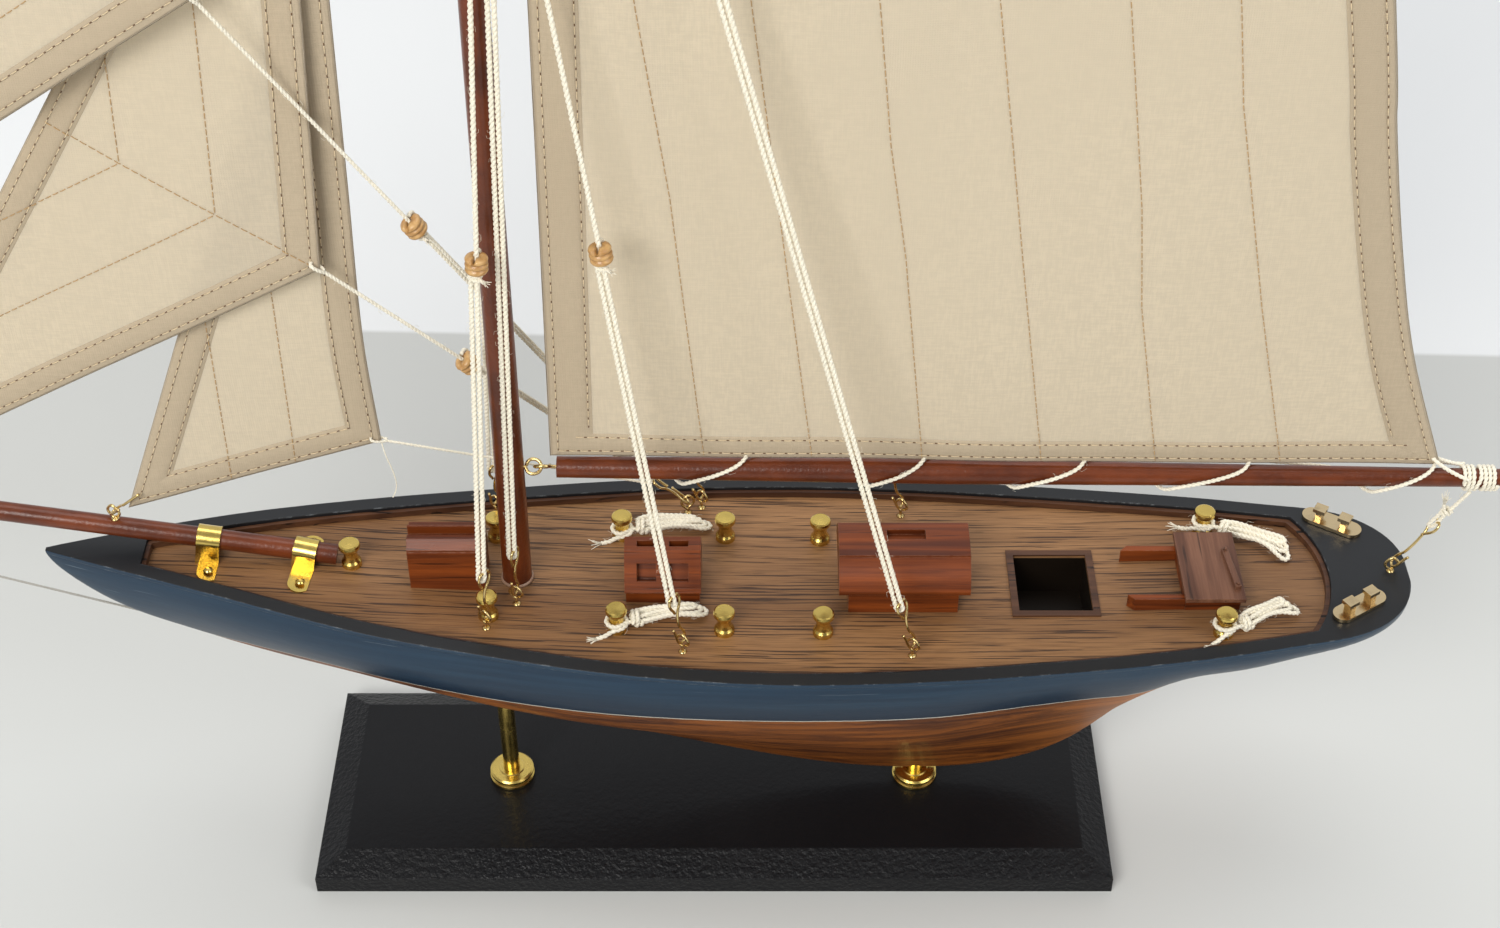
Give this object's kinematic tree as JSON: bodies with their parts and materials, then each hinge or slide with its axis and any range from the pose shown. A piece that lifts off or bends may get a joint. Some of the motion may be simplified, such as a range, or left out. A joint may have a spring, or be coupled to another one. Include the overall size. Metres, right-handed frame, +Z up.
{
  "type": "model sailing yacht on a stand",
  "caption": "Static wooden display model of a gaff-rigged cutter: painted hull, veneered deck, varnished spars, cotton sails and string rigging on a bevelled stand with brass posts.",
  "frame": {"origin": "centre of the stand's flat underside", "axes": "+X towards the stern, +Y towards starboard, +Z up"},
  "size_m": [0.4764, 0.0714, 0.4402],
  "materials": {
    "base_lacquer": "black satin lacquer on wood",
    "hull_paint": "dark blue satin paint with a white waterline, varnished below",
    "rail_lacquer": "near-black satin paint, worn at the outer edge",
    "deck_veneer": "open-grained brown veneer, satin varnish",
    "lip_wood": "dark red-brown wood, satin",
    "house_wood": "red-brown hardwood, gloss varnish",
    "box_top_wood": "brown wood with straight dark grain, satin",
    "spar_varnish": "red-brown gloss varnish with orange-peel texture",
    "brass": "polished turned brass",
    "pale_brass": "pale satin gold plate",
    "wire_brass": "bright bent wire",
    "sailcloth": "plain-woven beige cotton",
    "string": "cream twisted cotton with a little fuzz",
    "bead_wood": "turned light wood"
  },
  "bodies": {
    "hull_and_rig": {"aft_box": "house_wood", "aft_box_batten": "box_top_wood", "aft_box_rails": "house_wood", "aft_box_top": "box_top_wood", "backstay_port": "string", "backstay_starboard": "string", "bobstay": "string", "bollards": "brass", "bowsprit": "spar_varnish", "bowsprit_straps": "brass", "cabin_base": "house_wood", "cabin_roof": "house_wood", "deck": "deck_veneer", "deck_lip": "lip_wood", "display_base": "base_lacquer", "flying_jib": "sailcloth", "flying_jib_sheet": "string", "fore_skylight": "house_wood", "hatch_coaming": "lip_wood", "headsail_halyards": "string", "hull": "hull_paint", "jib": "sailcloth", "jib_sheet": "string", "line_hooks": "wire_brass", "mast": "spar_varnish", "mid_skylight": "house_wood", "post_collars": "brass", "post_front": "brass", "post_rear": "brass", "rail_cap": "rail_lacquer", "rope_hank_mid_port": "string", "rope_hank_mid_starboard": "string", "rope_hank_stern_port": "string", "rope_hank_stern_starboard": "string", "screw_eyes": "wire_brass", "shroud_port_aft": "string", "shroud_port_fore": "string", "shroud_starboard_aft": "string", "shroud_starboard_fore": "string", "staysail": "sailcloth", "staysail_sheet": "string", "stern_cleats": "pale_brass", "throat_halyard": "string"},
    "boom_and_mainsail": {"boom": "spar_varnish", "gaff": "spar_varnish", "mainsail": "sailcloth", "sail_lacing": "string", "boom_lashing": "string", "gooseneck_boom_eye": "wire_brass", "peak_halyard": "string"},
    "mainsheet": {"mainsheet_line": "string", "mainsheet_hook": "wire_brass"},
    "bead_shroud_port_fore": {"bead_shroud_port_fore": "bead_wood"},
    "bead_shroud_port_aft": {"bead_shroud_port_aft": "bead_wood"},
    "bead_backstay_port": {"bead_backstay_port": "bead_wood"},
    "bead_shroud_starboard_fore": {"bead_shroud_starboard_fore": "bead_wood"},
    "bead_shroud_starboard_aft": {"bead_shroud_starboard_aft": "bead_wood"},
    "bead_backstay_starboard": {"bead_backstay_starboard": "bead_wood"},
    "bead_jib_sheet": {"bead_jib_sheet": "bead_wood"},
    "bead_flying_jib_sheet": {"bead_flying_jib_sheet": "bead_wood"}
  },
  "joints": [
    {"name": "boom_swing", "type": "hinge", "parent": "hull_and_rig", "child": "boom_and_mainsail", "pos_m": [-0.0376, 0, 0.1174], "axis": [0, 0, 1], "range_deg": [-2, 2], "stiffness_Nm_per_rad": 0.08},
    {"name": "mainsheet_swing", "type": "hinge", "parent": "hull_and_rig", "child": "mainsheet", "pos_m": [0.1635, 0, 0.08586], "axis": [1, 0, 0], "range_deg": [-20, 20]},
    {"name": "slide_shroud_port_fore", "type": "slide", "parent": "hull_and_rig", "child": "bead_shroud_port_fore", "axis": [0.053, 0.0673, 0.9963], "range_m": [-0.006, 0.006]},
    {"name": "slide_shroud_port_aft", "type": "slide", "parent": "hull_and_rig", "child": "bead_shroud_port_aft", "axis": [-0.1389, 0.0796, 0.9871], "range_m": [-0.006, 0.006]},
    {"name": "slide_backstay_port", "type": "slide", "parent": "hull_and_rig", "child": "bead_backstay_port", "axis": [-0.249, 0.0593, 0.9667], "range_m": [-0.006, 0.006]},
    {"name": "slide_shroud_starboard_fore", "type": "slide", "parent": "hull_and_rig", "child": "bead_shroud_starboard_fore", "axis": [0.0567, -0.0906, 0.9943], "range_m": [-0.006, 0.006]},
    {"name": "slide_shroud_starboard_aft", "type": "slide", "parent": "hull_and_rig", "child": "bead_shroud_starboard_aft", "axis": [-0.153, -0.0931, 0.9838], "range_m": [-0.006, 0.006]},
    {"name": "slide_backstay_starboard", "type": "slide", "parent": "hull_and_rig", "child": "bead_backstay_starboard", "axis": [-0.25, -0.0607, 0.9663], "range_m": [-0.006, 0.006]},
    {"name": "slide_jib_sheet", "type": "slide", "parent": "hull_and_rig", "child": "bead_jib_sheet", "axis": [0.6161, 0.2237, -0.7552], "range_m": [-0.006, 0.006]},
    {"name": "slide_flying_jib_sheet", "type": "slide", "parent": "hull_and_rig", "child": "bead_flying_jib_sheet", "axis": [0.4725, 0.1812, -0.8625], "range_m": [-0.006, 0.006]}
  ],
  "couplings": [
    {"joint": "mainsheet_swing", "follows": "boom_swing", "ratio": -9.0953}
  ]
}
